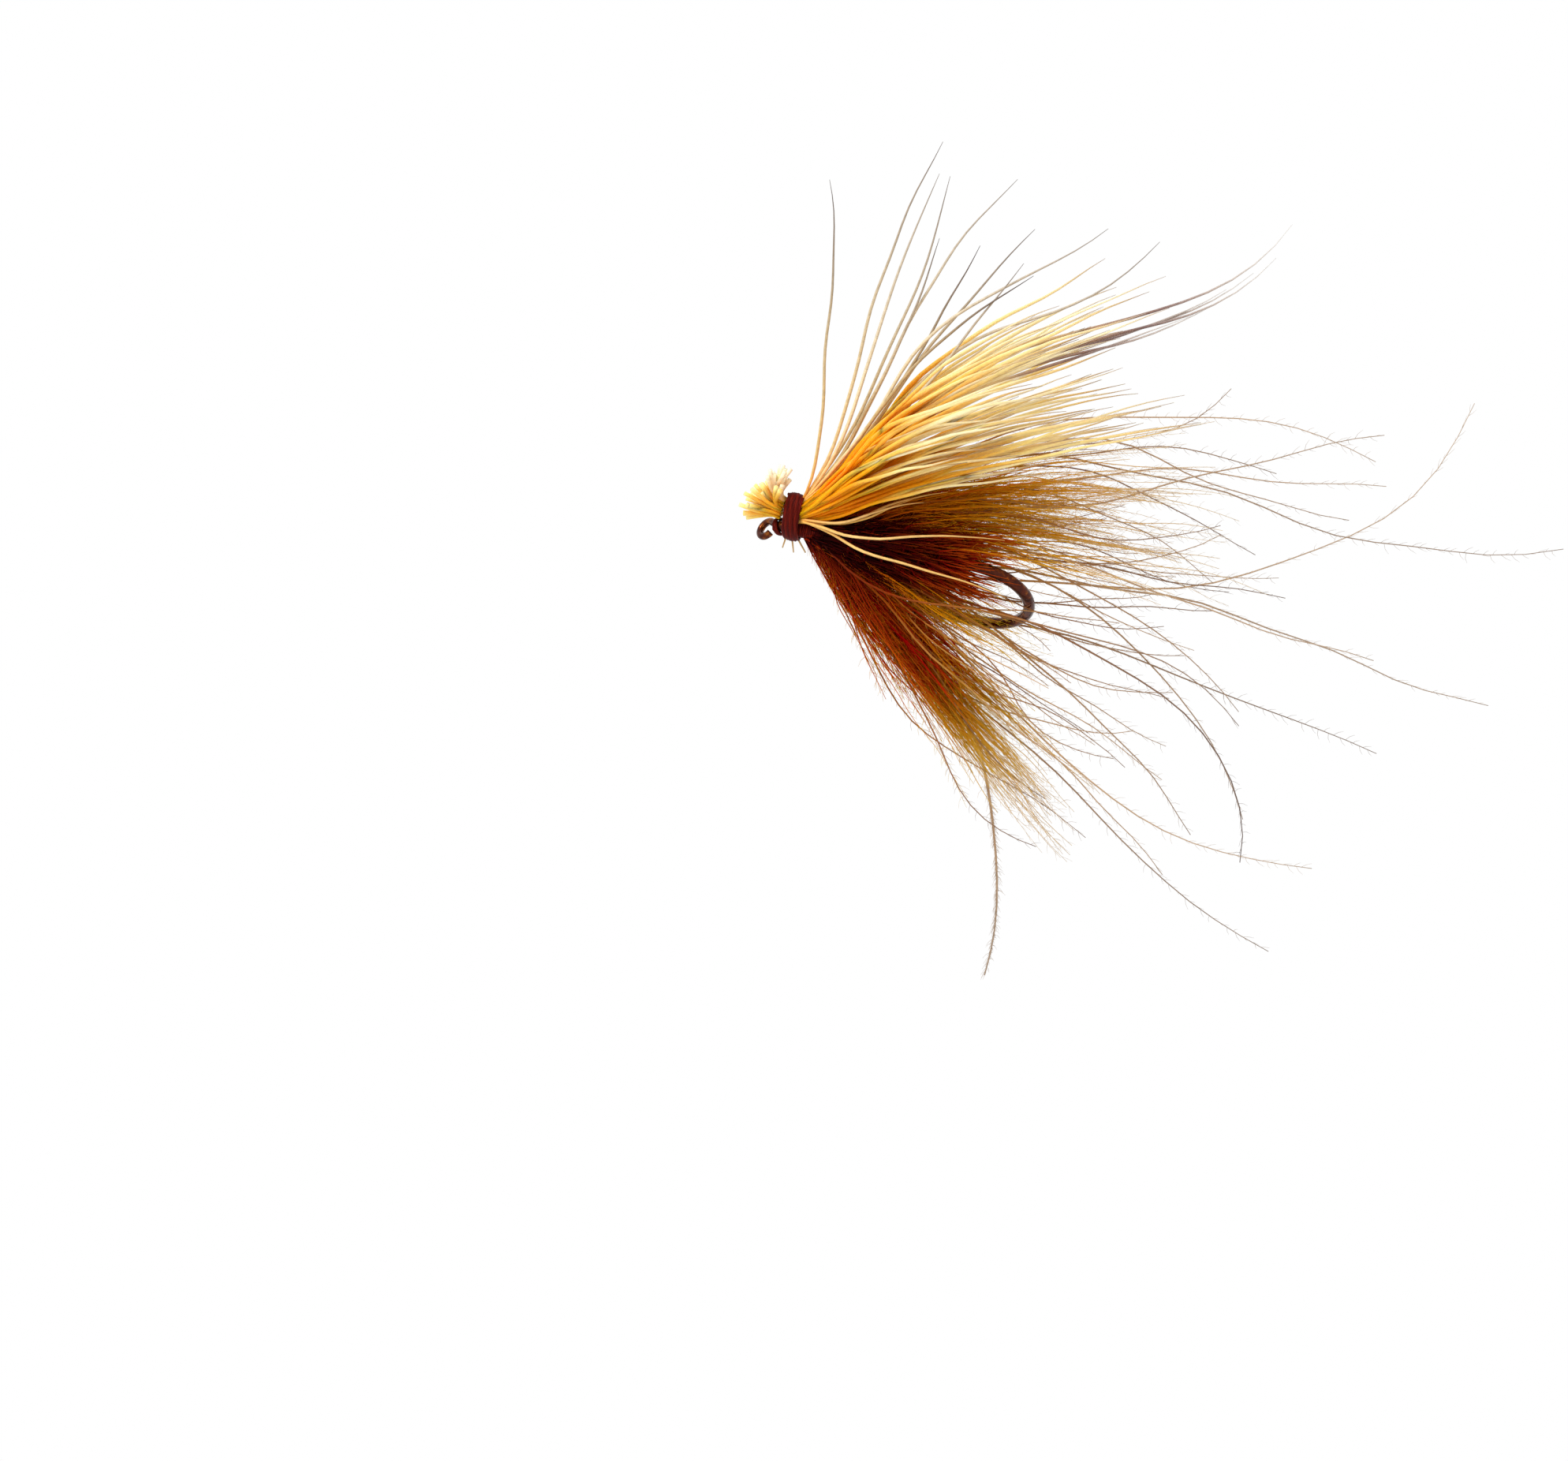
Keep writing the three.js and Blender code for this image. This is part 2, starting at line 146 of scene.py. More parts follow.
# Added along the shank to the direction in which a hair leaves the collar, whose own length is 1
HAIR_SET_OFF = 0.4
HAIR_WAVE = 4.0
HAIR_REACH = (0.6, 1.04)
HAIR_GIRTH = (0.5, 1.05)
LOCK_LEAN = 2
HAIR_SCATTER = 2.4
TURN_SCATTER = 2.5
# The first part of a hair's colour ramp belongs to its cut butt
BUTT_SHARE = 0.1
BUTTS_PER_LOCK = 2
BUTT_STEPS = 5
BUTT_SIDES = 7
BUTT_WAVE = 3
# At the collar a butt rises this much for each millimetre ahead, and its colour starts at this part of its
# share of the ramp
BUTT_SLOPE = 0.2
BUTT_COLOUR_FROM = 0.9
BUTT_LENGTHS = (0.8, 1.5)
BUTT_ROOT_R = 0.06
BUTT_GIRTH = (0.8, 1.1)
BUTT_CUT_SCATTER = 13
BUTT_SPREAD_SCATTER = 14
BUTT_FAN = 2.2
# Lower butts start further ahead of the collar, clear of the eye's neck
BUTT_CLEAR = 0.05
BUTT_STAGGER = 0.15
BUTT_STAGGER_TOP = 1.08

LOOSE_HAIR_WAVE = 3
STRAY_HAIR_R = 0.055
STRAY_HEIGHT = 1.0
STRAY_SIDE_JITTER = 0.1
STRAY_BUTT = 100
# Loose wing hairs: length, then the (turn, drop) that each runs through from collar to tip.
# turn swings a fibre to the -Y side and drop lowers it, both from +X.
STRAY_HAIRS = [
    (11.5, [(-95, -50), (-95, -50), (-110, -50)]),
    (13.5, [(-85, -45), (-70, -45), (-65, -40)]),
    (12.5, [(-75, -45), (-75, -45), (-70, -40)]),
    (10.5, [(-65, -40), (-70, -40), (-75, -45)]),
    (13.5, [(-70, -40), (-60, -40), (-45, -30)]),
    (11.0, [(-60, -35), (-60, -40), (-65, -40)]),
    (11.5, [(-50, -35), (-50, -35), (-55, -35)]),
    (11.5, [(-60, -40), (-40, -30), (-35, -25)]),
    (12.5, [(-70, -40), (-70, -45), (-80, -45)]),
    (12.5, [(-60, -35), (-50, -35), (-50, -30)]),
    (14.5, [(-65, -40), (-30, -20), (-40, -25)]),
    (15.5, [(-55, -35), (-20, -15), (-50, -30)]),
]
# A lock of long hairs that leaves the wing together and curls up at its tip
LONG_HAIR_R = 0.062
LONG_HAIRS = [
    (19.5, [(-48, -32), (-22, -14), (-18, -13), (-60, -38)]),
    (18.5, [(-46, -31), (-22, -15), (-19, -13), (-50, -32)]),
    (17.5, [(-44, -33), (-24, -14), (-20, -14), (-42, -30)]),
    (16.5, [(-48, -31), (-23, -16), (-21, -13), (-36, -26)]),
    (16.0, [(-45, -32), (-25, -15), (-19, -14), (-32, -22)]),
    (15.0, [(-43, -33), (-26, -16), (-22, -15), (-28, -20)]),
]
# Pale hairs that strayed down over the dark body
NEAR_HAIR_R = 0.044
NEAR_SIDE = -0.3
NEAR_HEIGHT = 0.5
NEAR_HEIGHT_JITTER = 0.15
NEAR_HAIRS = [
    (4.6, [(0, -20), (-30, -20), (-28, -12)]),
    (5.6, [(-2, -20), (-34, -18), (-24, -8), (-20, -6)]),
    (7.8, [(20, -18), (-14, -8), (-16, 0), (-6, 0)]),
    (8.3, [(26, -12), (2, -6), (8, 0), (14, 0)]),
    (4.8, [(6, -20), (-22, -18), (-26, -12), (-12, -8)]),
]

# Body: radius along the shank, its ribs, the fuzz that covers it and the quill wound over it
BODY_PROFILE = [(1.75, 0.33), (2.4, 0.46), (3.2, 0.6), (4.6, 0.68), (6.0, 0.6), (7.2, 0.42)]
CORE_RINGS = 60
CORE_SIDES = 20
CORE_INSET = 0.08
CORE_SHADE = 0.2
RIB_HEIGHT = 0.05
RIB_PITCH = 0.62
FUZZ_COUNT = 1600
FUZZ_SPAN = (1.7, 7.1)
FUZZ_DEPTH = 0.1
FUZZ_STEPS = 6
FUZZ_SIDES = 3
# How far a strand leans back where it leaves the body, its scatter there, how strongly it turns back after
# that, and how much of its first direction is left at its tip
FUZZ_LEAN = 0.8
FUZZ_SCATTER = 0.35
FUZZ_TURN_BACK = 2
FUZZ_TIP_SHARE = 0.3
FUZZ_SHORTEST = 0.5
FUZZ_LONGEST = 1.0
FUZZ_GROWTH = 0.22
FUZZ_WAVE = 8
FUZZ_ROOT_R = 0.03
FUZZ_TIP_R = 0.01
# Fuzz is near-black, as painted shade of the wing, ahead of RED_FROM_X, and turns to its own red over
# RED_OVER behind it
RED_FROM_X = 4
RED_OVER = 3
RED_SCATTER = 0.2
QUILL_FROM = 2.7
QUILL_LENGTH = 4.4
QUILL_TURNS = 7
QUILL_STEPS_PER_TURN = 24
QUILL_CLEAR = 0.07
QUILL_R = 0.05
QUILL_SIDES = 8
QUILL_SHADE = 0.4

# Hackle, as clumps of barbs by family: how many clumps, their lengths, spread in degrees, tint, and the
# (turn, drop) they run through. The last two families hang as the red bundle.
HACKLE_FAMILIES = [
    dict(clumps=26, lengths=(6, 15), spread=6, tint=(0.5, 1.0),
         ways=[(-26, -4), (-26, 2), (-18, 6), (-12, 6)]),
    dict(clumps=22, lengths=(6, 14), spread=6, tint=(0.2, 0.9),
         ways=[(-24, 0), (-20, 5), (-10, 8), (-6, 10)]),
    dict(clumps=22, lengths=(3, 6.5), spread=7, tint=(0.0, 0.25),
         ways=[(-16, 2), (-12, 5), (-6, 8), (0, 12)]),
    dict(clumps=30, lengths=(5, 11), spread=5, tint=(0.1, 1.0),
         ways=[(4, 20), (1, 24), (-1, 27), (-4, 30)]),
    dict(clumps=20, lengths=(3.5, 6.5), spread=5, tint=(0.0, 0.3),
         ways=[(14, 18), (14, 22), (15, 25), (17, 28)]),
    dict(clumps=46, lengths=(5, 14.5), spread=4, tint=(0.0, 0.12),
         ways=[(29, 28), (27, 27), (26, 26), (22, 25)]),
    dict(clumps=24, lengths=(5, 12), spread=4, tint=(0.0, 0.4),
         ways=[(29, 26), (33, 31), (34, 32), (35, 32)]),
]
LOCKS_PER_FAMILY = 2
BARBS_PER_CLUMP = 9
CLUMP_LENGTH_POWER = 1.5
CLUMP_ROOT = (1.5, 2.3)
CLUMP_ROOT_JITTER = 0.06
CLUMP_BEND = 4
CLUMP_SCATTER = 2.2
CLUMP_REACH = (0.6, 1.05)
CLUMP_GIRTH = (0.5, 1.1)
CLUMP_TINT_SCATTER = 0.12
CLUMP_FUZZ = 0.8
# Single barbs that wander: how many for each hackle fibre, how many directions each one runs through, and
# the range and scatter of those directions' turn and drop
WANDERERS = 5
WANDER_WAYS = 4
WANDER_TURN = (-30, 25)
WANDER_DROP = (0, 28)
WANDER_SCATTER = 13
WANDER_STRETCH = [1.2, 0.7]
WANDER_LENGTHS = (8, 17)
WANDERER_R = 0.05
LONG_BARB_R = 0.06
LONG_BARB_ROOT = (1.6, 2.2)
LONG_BARB_FUZZ = 1.0
HACKLE_FIBRES = 8
# Long single barbs: length, then the (turn, drop) each runs through
LONG_BARBS = [
    (20.5, [(-30, -15), (-15, 5), (-30, 5), (-35, 5)]),
    (20.5, [(-55, -15), (-25, 0), (-15, 10), (0, 15)]),
    (20.5, [(-40, 5), (-30, 5), (-10, 15), (-15, 5)]),
    (19.5, [(-30, -5), (-30, -10), (5, 10), (-5, 0)]),
    (27.0, [(-50, -10), (-10, 10), (0, 15), (-20, 5)]),
    (26.0, [(-10, 30), (-15, 15), (-35, -5), (-65, -30)]),
    (25.5, [(-15, 10), (-10, 15), (0, 25), (-15, 20)]),
    (20.0, [(-15, -5), (-5, 5), (5, 15), (-5, 15)]),
    (16.5, [(-30, 0), (0, 15), (15, 15), (40, 20)]),
    (20.0, [(-25, 15), (-5, 20), (25, 30), (60, 30)]),
    (20.0, [(15, 10), (-5, 10), (20, 30), (80, 40)]),
    (22.0, [(15, 35), (-10, 20), (-5, 20), (10, 20)]),
    (14.5, [(5, 20), (0, 15), (-15, 0), (-10, 0)]),
    (17.5, [(0, 15), (15, 25), (20, 30), (40, 40)]),
    (17.0, [(20, 15), (30, 20), (20, 20), (30, 30)]),
    (22.0, [(20, 35), (25, 30), (25, 25), (10, 10)]),
    (21.5, [(20, 25), (25, 25), (15, 25), (-15, 10)]),
    (13.5, [(40, 20), (40, 20), (55, 20), (0, 5)]),
    (16.5, [(-20, 0), (-5, 10), (-10, 15), (-15, 15)]),
    (15.5, [(-40, -5), (-35, -5), (-15, 5), (-50, -20)]),
    (16.5, [(-40, -5), (-30, 0), (0, 20), (10, 25)]),
    (14.0, [(-30, -15), (-10, 0), (0, 10), (-35, -10)]),
    (14.0, [(-15, 10), (20, 25), (15, 20), (-25, 5)]),
    (14.0, [(20, 30), (30, 30), (5, 20), (-25, 5)]),
    (12.5, [(10, 15), (40, 25), (40, 25), (10, 15)]),
    (14.5, [(-30, -5), (5, 15), (-15, 5), (-45, -10)]),
    (14.0, [(20, 30), (-5, 15), (0, 15), (-15, 0)]),
    (15.0, [(-50, -20), (-15, 5), (0, 15), (25, 25)]),
    (16.5, [(-30, -5), (-35, -10), (-15, 5), (5, 20)]),
]
# The one thick, dense barb that hangs down, and the number of the hackle fibre it belongs to. fuzz says how
# many barbules a barb has, as a multiple of BARBULES_PER_MM.
PLUME = dict(ways=[(45, 40), (15, 35), (70, 45), (100, 35)],
             root_x=1.9, length=18.5, r=0.1, fuzz=9, tint=0.8)
PLUME_FIBRE = 2
BARB_R = 0.042
BARB_STEPS = 20
BARB_SIDES = 4
BARB_WAVE = 6
BARB_ROOT_DEPTH = (0.2, 1.0)
BARB_ROOT_SCATTER = 0.2
BARB_TAPER = 0.75
BARB_PINCH = 0.6
BARB_PINCH_EASE = 4
BARBULE_R = 0.007
BARBULE_TAPER = [1, 0.8, 0.4]
BARBULE_SIDES = 3
# Barbules stand along this part of a barb, each shifted by up to this share of the gap to the next
BARBULES_FROM = 0.05
BARBULES_SPAN = 0.94
BARBULE_SHIFT = 0.8
BARBULE_LENGTH = 0.34
BARBULE_REACH = (0.5, 1.3)
BARBULE_SCATTER = 0.35
BARBULE_SWEEP = 0.6
BARBULES_PER_MM = 5
BARBULE_FADE = 0.08
# How far a barbule's own points move along its barb's strip of the UV map
BARBULE_STRIP = [0, 0.002, 0.004]
# A barb's colour runs through its whole ramp over this length
DOWN_COLOUR_SPAN = 18
# Cut stubs under the collar: place along the shank, lean and length
STUBS = [(0.8, 75, 0.45), (1.0, 95, 0.55), (1.2, 120, 0.5)]
STUB_BURIED = 0.15
STUB_ASIDE = -0.35
STUB_RADII = [0.035, 0.033, 0.03, 0.025]
STUB_SHADE = 0.8
STUB_TINT = 0.3
STUB_SIDES = 6

# Fibres: the turns that they waver by along their length, and a direction that none of them follows
SLOW_WAVER = (0.8, 1.6)
FAST_WAVER = (2.2, 4.5)
OFF_FIBRE = [0.3, 0.5, 0.8]

# Materials: grain's swing in roughness and its dent strength, and how light spreads inside hair and down
ROUGHNESS_SWING = 0.12
GRAIN_STRENGTH = 0.4
FIBRE_GRAIN = 0.15
FIBRE_DENT = 0.01
# Mottling darkens a fibre at the low end of this band of grain values and brightens it, by a smaller share,
# at the high end
MOTTLING = 0.15
MOTTLE_BAND = (0.3, 0.7)
MOTTLE_BRIGHT_SHARE = 0.6
# The tint of a piece whose material doesn't read it
PLAIN_TINT = 0.5
LIGHT_DEPTH = 0.25
LIGHT_TINT = (1, 0.9, 0.8)
# Each fibre has a strip of the UV map, this many times as long as wide. The fibre keeps clear of the
# strip's ends and sides by these shares of its length and width.
STRIP_ASPECT = 4
STRIP_MARGIN_U = 0.04
STRIP_MARGIN_V = 0.06

# Stage
WORLD_STRENGTH = 1.0
KEY_WATTS = 0.09
KEY_FROM = [-0.5, 0.2, 1.0]
KEY_DISTANCE = 120
KEY_SIZE = 60
FLOOR_Z = -13.5
FLOOR_SIZE = 900


# ---------------------------------------------------------------- small helpers
def unit(v):
    v = np.asarray(v, float)
    return v / np.maximum(np.linalg.norm(v, axis=-1, keepdims=True), TINY)


def srgb(code):
    """A hex colour as linear RGBA."""
    channels = [int(code[i:i + 2], 16) / 255 for i in (0, 2, 4)]
    return [c / 12.92 if c <= 0.04045 else ((c + 0.055) / 1.055) ** 2.4 for c in channels] + [1]


def wing_point(x, side, up):
    """A point along the shank, and across and above it in the frame of the rolled wing."""
    c, s = math.cos(math.radians(WING_ROLL)), math.sin(math.radians(WING_ROLL))
    return np.array([x, side * c + up * s, SHANK_Z - side * s + up * c])


def wing_vector(x, side, up):
    """A direction along the shank, and across and above it in the frame of the rolled wing."""
    return wing_point(x, side, up) - wing_point(0, 0, 0)


def wing_way(lift, turn):
    lift, turn = math.radians(lift), math.radians(turn)
    return wing_vector(math.cos(lift) * math.cos(turn), math.sin(turn), math.sin(lift) * math.cos(turn))


def barb_way(turn, drop):
    turn, drop = math.radians(turn), math.radians(drop)
    flat = math.cos(drop)
    return np.array([math.cos(turn) * flat, -math.sin(turn) * flat, -math.sin(drop)])


def path(root, ways, length, steps, wave=0.0):
    """A centreline from root through the directions in ways, spaced evenly, that wavers by wave degrees."""
    t = np.linspace(0, 1, steps + 1)
    ways = unit(ways)
    stations = np.linspace(0, 1, len(ways))
    way = np.stack([np.interp(t, stations, ways[:, axis]) for axis in range(3)], axis=-1)
    if wave:
        for turns in (rng.uniform(*SLOW_WAVER), rng.uniform(*FAST_WAVER)):
            aside = unit(np.cross(way, rng.normal(0, 1, 3)))
            swing = np.sin(2 * math.pi * (turns * t + rng.uniform()))[:, None]
            way = way + math.radians(wave) * swing * aside
    way = unit(way)
    moves = unit(way[:-1] + way[1:]) * length / steps
    return np.vstack([root, root + np.cumsum(moves, axis=0)])


# ---------------------------------------------------------------- fibres as mesh tubes
class Bundle:
    """Many thin tubes gathered into one mesh. Each tube has its own strip of the UV map, or shares one."""

    def __init__(self):
        self.batches = {}
        self.strips = 0

    def add(self, line, radii, along, tint, sides):
        """One tube in a strip of its own. Returns the strip."""
        strip = self.strips
        self.strips += 1
        place = np.linspace(0, 1, len(line))
        self.add_many([line], [radii], [along], [tint], [place], strip, sides)
        return strip

    def add_many(self, lines, radii, along, tint, place, strip, sides):
        """Tubes of equal point counts that all lie in one strip, each at its own place in it."""
        lines = np.asarray(lines, float)
        count, n = lines.shape[:2]
        batch = self.batches.setdefault((n, sides), [[], [], [], [], [], []])
        values = (
            lines,
            np.broadcast_to(radii, (count, n)),
            np.broadcast_to(along, (count, n)),
            np.broadcast_to(np.reshape(tint, (-1, 1)), (count, n)),
            np.broadcast_to(place, (count, n)),
            np.full(count, strip),
        )
        for store, value in zip(batch, values):
            store.append(value)

    def build(self, name, material):
        """The whole bundle as one object: walls and two end caps for each tube."""
        columns = math.ceil(math.sqrt(self.strips / STRIP_ASPECT))
        rows = math.ceil(self.strips / columns)
        points, alongs, tints, loops, sizes, uvs = [], [], [], [], [], []
        base = 0
        for (n, sides), batch in self.batches.items():
            lines, radii, along, tint, place, strip = (np.concatenate(part) for part in batch)
            rings = ring_points(lines, radii, sides)
            points.append(rings.reshape(-1, 3))
            alongs.append(np.repeat(along.ravel(), sides))
            tints.append(np.repeat(tint.ravel(), sides))
            index = base + np.arange(len(lines) * n * sides).reshape(-1, n, sides)
            base += index.size
            after = np.roll(index, -1, axis=2)
            walls = np.stack([index[:, :-1], after[:, :-1], after[:, 1:], index[:, 1:]], axis=-1)
            round_it = np.arange(sides + 1) / sides
            u = ((strip % columns)[:, None] + STRIP_MARGIN_U + (1 - 2 * STRIP_MARGIN_U) * place) / columns
            v = ((strip // columns)[:, None] + STRIP_MARGIN_V + (1 - 2 * STRIP_MARGIN_V) * round_it) / rows
            u = np.broadcast_to(u[:, :, None], (len(lines), n, sides + 1))
            v = np.broadcast_to(v[:, None, :], (len(lines), n, sides + 1))
            uv = np.stack([u, v], axis=-1)
            corners = [uv[:, :-1, :-1], uv[:, :-1, 1:], uv[:, 1:, 1:], uv[:, 1:, :-1]]
            loops += [walls.ravel(), index[:, 0, ::-1].ravel(), index[:, -1].ravel()]
            uvs += [np.stack(corners, axis=-2).reshape(-1, 2)]
            uvs += [uv[:, 0, :-1][:, ::-1].reshape(-1, 2), uv[:, -1, :-1].reshape(-1, 2)]
            sizes += [np.full(walls.size // 4, 4), np.full(2 * len(lines), sides)]
        loops, sizes = np.concatenate(loops), np.concatenate(sizes)
        mesh = bpy.data.meshes.new(name)
        mesh.vertices.add(base)
        mesh.vertices.foreach_set("co", (np.vstack(points) * MM).ravel())
        mesh.loops.add(len(loops))
        mesh.loops.foreach_set("vertex_index", loops)
        mesh.polygons.add(len(sizes))
        mesh.polygons.foreach_set("loop_start", np.concatenate([[0], np.cumsum(sizes)[:-1]]))
        mesh.update(calc_edges=True)
        mesh.uv_layers.new(name="OFBake").data.foreach_set("uv", np.vstack(uvs).ravel())
        for label, values in (("along", alongs), ("tint", tints)):
            mesh.attributes.new(label, "FLOAT", "POINT").data.foreach_set("value", np.concatenate(values))
        mesh.shade_smooth()
        return placed(name, mesh, material)


def ring_points(lines, radii, sides):
    """Rings of points round each centreline, turned as little as possible from one ring to the next."""
    tangents = unit(np.gradient(lines, axis=1))
    normal = unit(np.cross(tangents[:, 0], OFF_FIBRE))
    angles = np.arange(sides) * 2 * math.pi / sides
    c, s = np.cos(angles)[None, :, None], np.sin(angles)[None, :, None]
    rings = []
    for i in range(lines.shape[1]):
        tangent = tangents[:, i]
        normal = unit(normal - tangent * np.sum(normal * tangent, axis=1, keepdims=True))
        across = np.cross(tangent, normal)
        spokes = c * normal[:, None] + s * across[:, None]
        rings.append(lines[:, i, None] + radii[:, i, None, None] * spokes)
    return np.stack(rings, axis=1)


def placed(name, mesh, material):
    obj = bpy.data.objects.new(name, mesh)
    bpy.context.scene.collection.objects.link(obj)
    mesh.materials.append(material)
    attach(obj, "root")
    return obj


def declare(bundle, node, material):
    """Builds the bundle as a piece named after a CAD node, and hides that node."""
    piece = bundle.build(node + "_look", material)
    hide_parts(node)
    return piece


# ---------------------------------------------------------------- materials
def new_material(name):
    material = bpy.data.materials.new(name)
    material.use_nodes = True
    return material, material.node_tree.nodes, material.node_tree.links


def attribute(nodes, name):
    node = nodes.new("ShaderNodeAttribute")
    node.attribute_name = name
    return node.outputs["Fac"]


def colour_ramp(nodes, stops):
    ramp = nodes.new("ShaderNodeValToRGB")
    elements = ramp.color_ramp.elements
    while len(elements) > 1:
        elements.remove(elements[-1])
    elements[0].position = stops[0][0]
    elements[0].color = srgb(stops[0][1])
    for position, code in stops[1:]:
        elements.new(position).color = srgb(code)
    return ramp


def add_grain(nodes, links, shader, size, roughness, depth):
    """Fine grain of a given size in mm that varies roughness and dents the surface. Returns its value."""
    place = nodes.new("ShaderNodeTexCoord")
    noise = nodes.new("ShaderNodeTexNoise")
    noise.inputs["Scale"].default_value = 1 / (size * MM)
    noise.inputs["Detail"].default_value = 2
    links.new(place.outputs["Object"], noise.inputs["Vector"])
    vary = nodes.new("ShaderNodeMapRange")
    vary.inputs["To Min"].default_value = roughness - ROUGHNESS_SWING
    vary.inputs["To Max"].default_value = roughness + ROUGHNESS_SWING
    links.new(noise.outputs["Fac"], vary.inputs["Value"])
    links.new(vary.outputs["Result"], shader.inputs["Roughness"])
    bump = nodes.new("ShaderNodeBump")
    bump.inputs["Strength"].default_value = GRAIN_STRENGTH
    bump.inputs["Distance"].default_value = depth * MM
    links.new(noise.outputs["Fac"], bump.inputs["Height"])
    links.new(bump.outputs["Normal"], shader.inputs["Normal"])
    return noise.outputs["Fac"]


def fibre_material(name, pale, rich, roughness, shine, grain=FIBRE_GRAIN, mottling=MOTTLING, glow=0.0):
    """Each fibre's colour runs along it between a pale and a rich ramp, by its tint, with fine mottling."""
    material, nodes, links = new_material(name)
    shader = nodes["Principled BSDF"]
    along, tint = attribute(nodes, "along"), attribute(nodes, "tint")
    blend = nodes.new("ShaderNodeMix")
    blend.data_type = "RGBA"
    links.new(tint, blend.inputs["Factor"])
    for stops, socket in ((rich, "A"), (pale, "B")):
        ramp = colour_ramp(nodes, stops)
        links.new(along, ramp.inputs["Fac"])
        colour_in = [i for i in blend.inputs if i.name == socket and i.type == "RGBA"][0]
        links.new(ramp.outputs["Color"], colour_in)
    speck = add_grain(nodes, links, shader, grain, roughness, FIBRE_DENT)
    mottle = nodes.new("ShaderNodeMapRange")
    mottle.inputs["From Min"].default_value = MOTTLE_BAND[0]
    mottle.inputs["From Max"].default_value = MOTTLE_BAND[1]
    mottle.inputs["To Min"].default_value = 1 - mottling
    mottle.inputs["To Max"].default_value = 1 + mottling * MOTTLE_BRIGHT_SHARE
    hue = nodes.new("ShaderNodeHueSaturation")
    links.new(speck, mottle.inputs["Value"])
    links.new(mottle.outputs["Result"], hue.inputs["Value"])
    links.new([o for o in blend.outputs if o.type == "RGBA"][0], hue.inputs["Color"])
    links.new(hue.outputs["Color"], shader.inputs["Base Color"])
    shader.inputs["Specular IOR Level"].default_value = shine
    shader.inputs["Subsurface Weight"].default_value = glow
    shader.inputs["Subsurface Scale"].default_value = LIGHT_DEPTH * MM
    shader.inputs["Subsurface Radius"].default_value = LIGHT_TINT
    return material


def deer_hair_material():
    pale = [(0, "ffe6a4"), (0.02, "fcd070"), (0.05, "f6ae2c"), (0.1, "ff9c04"), (0.3, "ffa000"),
            (0.42, "f8aa10"), (0.56, "f2c060"), (0.7, "fbe6b8"), (0.88, "ead8ae"), (1, "7a5c48")]
    rich = [(0, "f6cc78"), (0.02, "ecac3c"), (0.05, "dc8c10"), (0.1, "f07400"), (0.3, "ea7c00"),
            (0.42, "e48e00"), (0.56, "e0a638"), (0.72, "eecc7c"), (0.86, "cca468"), (1, "442c22")]
    return fibre_material("deer_hair", pale, rich, roughness=0.45, shine=0.1, mottling=0.08, glow=0.8)


def stray_hair_material():
    pale = [(0, "fff6da"), (0.1, "ffc860"), (0.25, "eed8a4"), (0.6, "ddcdb0"), (0.9, "b4a696"),
            (1, "8a8078")]
    rich = [(0, "fff0c8"), (0.1, "f0a020"), (0.25, "d8b26a"), (0.6, "b8a078"), (0.85, "7c6a5c"),
            (1, "3c3234")]
    return fibre_material("stray_deer_hair", pale, rich, roughness=0.4, shine=0.3)


def long_hair_material():
    pale = [(0, "fff0c8"), (0.1, "f8ac20"), (0.3, "f0c468"), (0.52, "dcbc7c"), (0.66, "ac8c70"),
            (0.76, "8c7068"), (0.86, "b4a8a0"), (1, "d8d0c8")]
    rich = [(0, "fff0c8"), (0.1, "e89410"), (0.3, "dca648"), (0.52, "c09c58"), (0.66, "846450"),
            (0.76, "644e4c"), (0.86, "9c8c84"), (1, "c8c0b8")]
    return fibre_material("long_deer_hair", pale, rich, roughness=0.4, shine=0.2, glow=0.4)


def pale_hair_material():
    pale = [(0, "fff0c4"), (0.1, "f4bc5c"), (0.4, "f2cc88"), (1, "e4b468")]
    rich = [(0, "fff0c4"), (0.1, "e09830"), (0.4, "dca850"), (1, "c8923c")]
    return fibre_material("pale_deer_hair", pale, rich, roughness=0.4, shine=0.3)


def down_material():
    amber = [(0, "8a1400"), (0.13, "cc5400"), (0.28, "f28c00"), (0.48, "ee9c18"), (0.68, "d0a460"),
             (1, "b4a898")]
    # The deep ramp is near-black at the root by the body: partly the down's own colour, partly painted
    # shade under the wing
    deep = [(0, "2c0000"), (0.12, "6c0000"), (0.3, "980000"), (0.38, "a01000"), (0.46, "b05a00"),
            (0.58, "c48414"), (0.78, "b48c54"), (1, "90807a")]
    return fibre_material("down_barbs", amber, deep, roughness=0.6, shine=0.04, glow=0.5)


def long_barb_material():
    pale = [(0, "6c1000"), (0.2, "a8540c"), (0.38, "c48e44"), (0.6, "c8a47c"), (1, "bca48c")]
    rich = [(0, "3c0000"), (0.2, "741800"), (0.38, "925422"), (0.6, "8a6850"), (1, "6c5c56")]
    return fibre_material("long_down_barbs", pale, rich, roughness=0.6, shine=0.06)


def body_material():
    # The dark ramp is painted shade of the wing: fuzz at the front, under the wing, takes it, and takes the
    # rust ramp, the body's own red, towards the rear
    rust = [(0, "380000"), (0.5, "8c0c00"), (1, "c05004")]
    dark = [(0, "0c0000"), (0.6, "240000"), (1, "500200")]
    return fibre_material("wound_down", rust, dark, roughness=0.7, shine=0.04)


def thread_material():
    # An even blend of a lighter and a darker ramp; along the thread its tone goes lighter and darker in
    # bands
    lighter = [(0, "5c0a04"), (0.5, "8c2008"), (1, "6c0c04")]
    dark = [(0, "240200"), (0.5, "480602"), (1, "300400")]
    return fibre_material("tying_thread", lighter, dark, roughness=0.5, shine=0.08, grain=0.05)


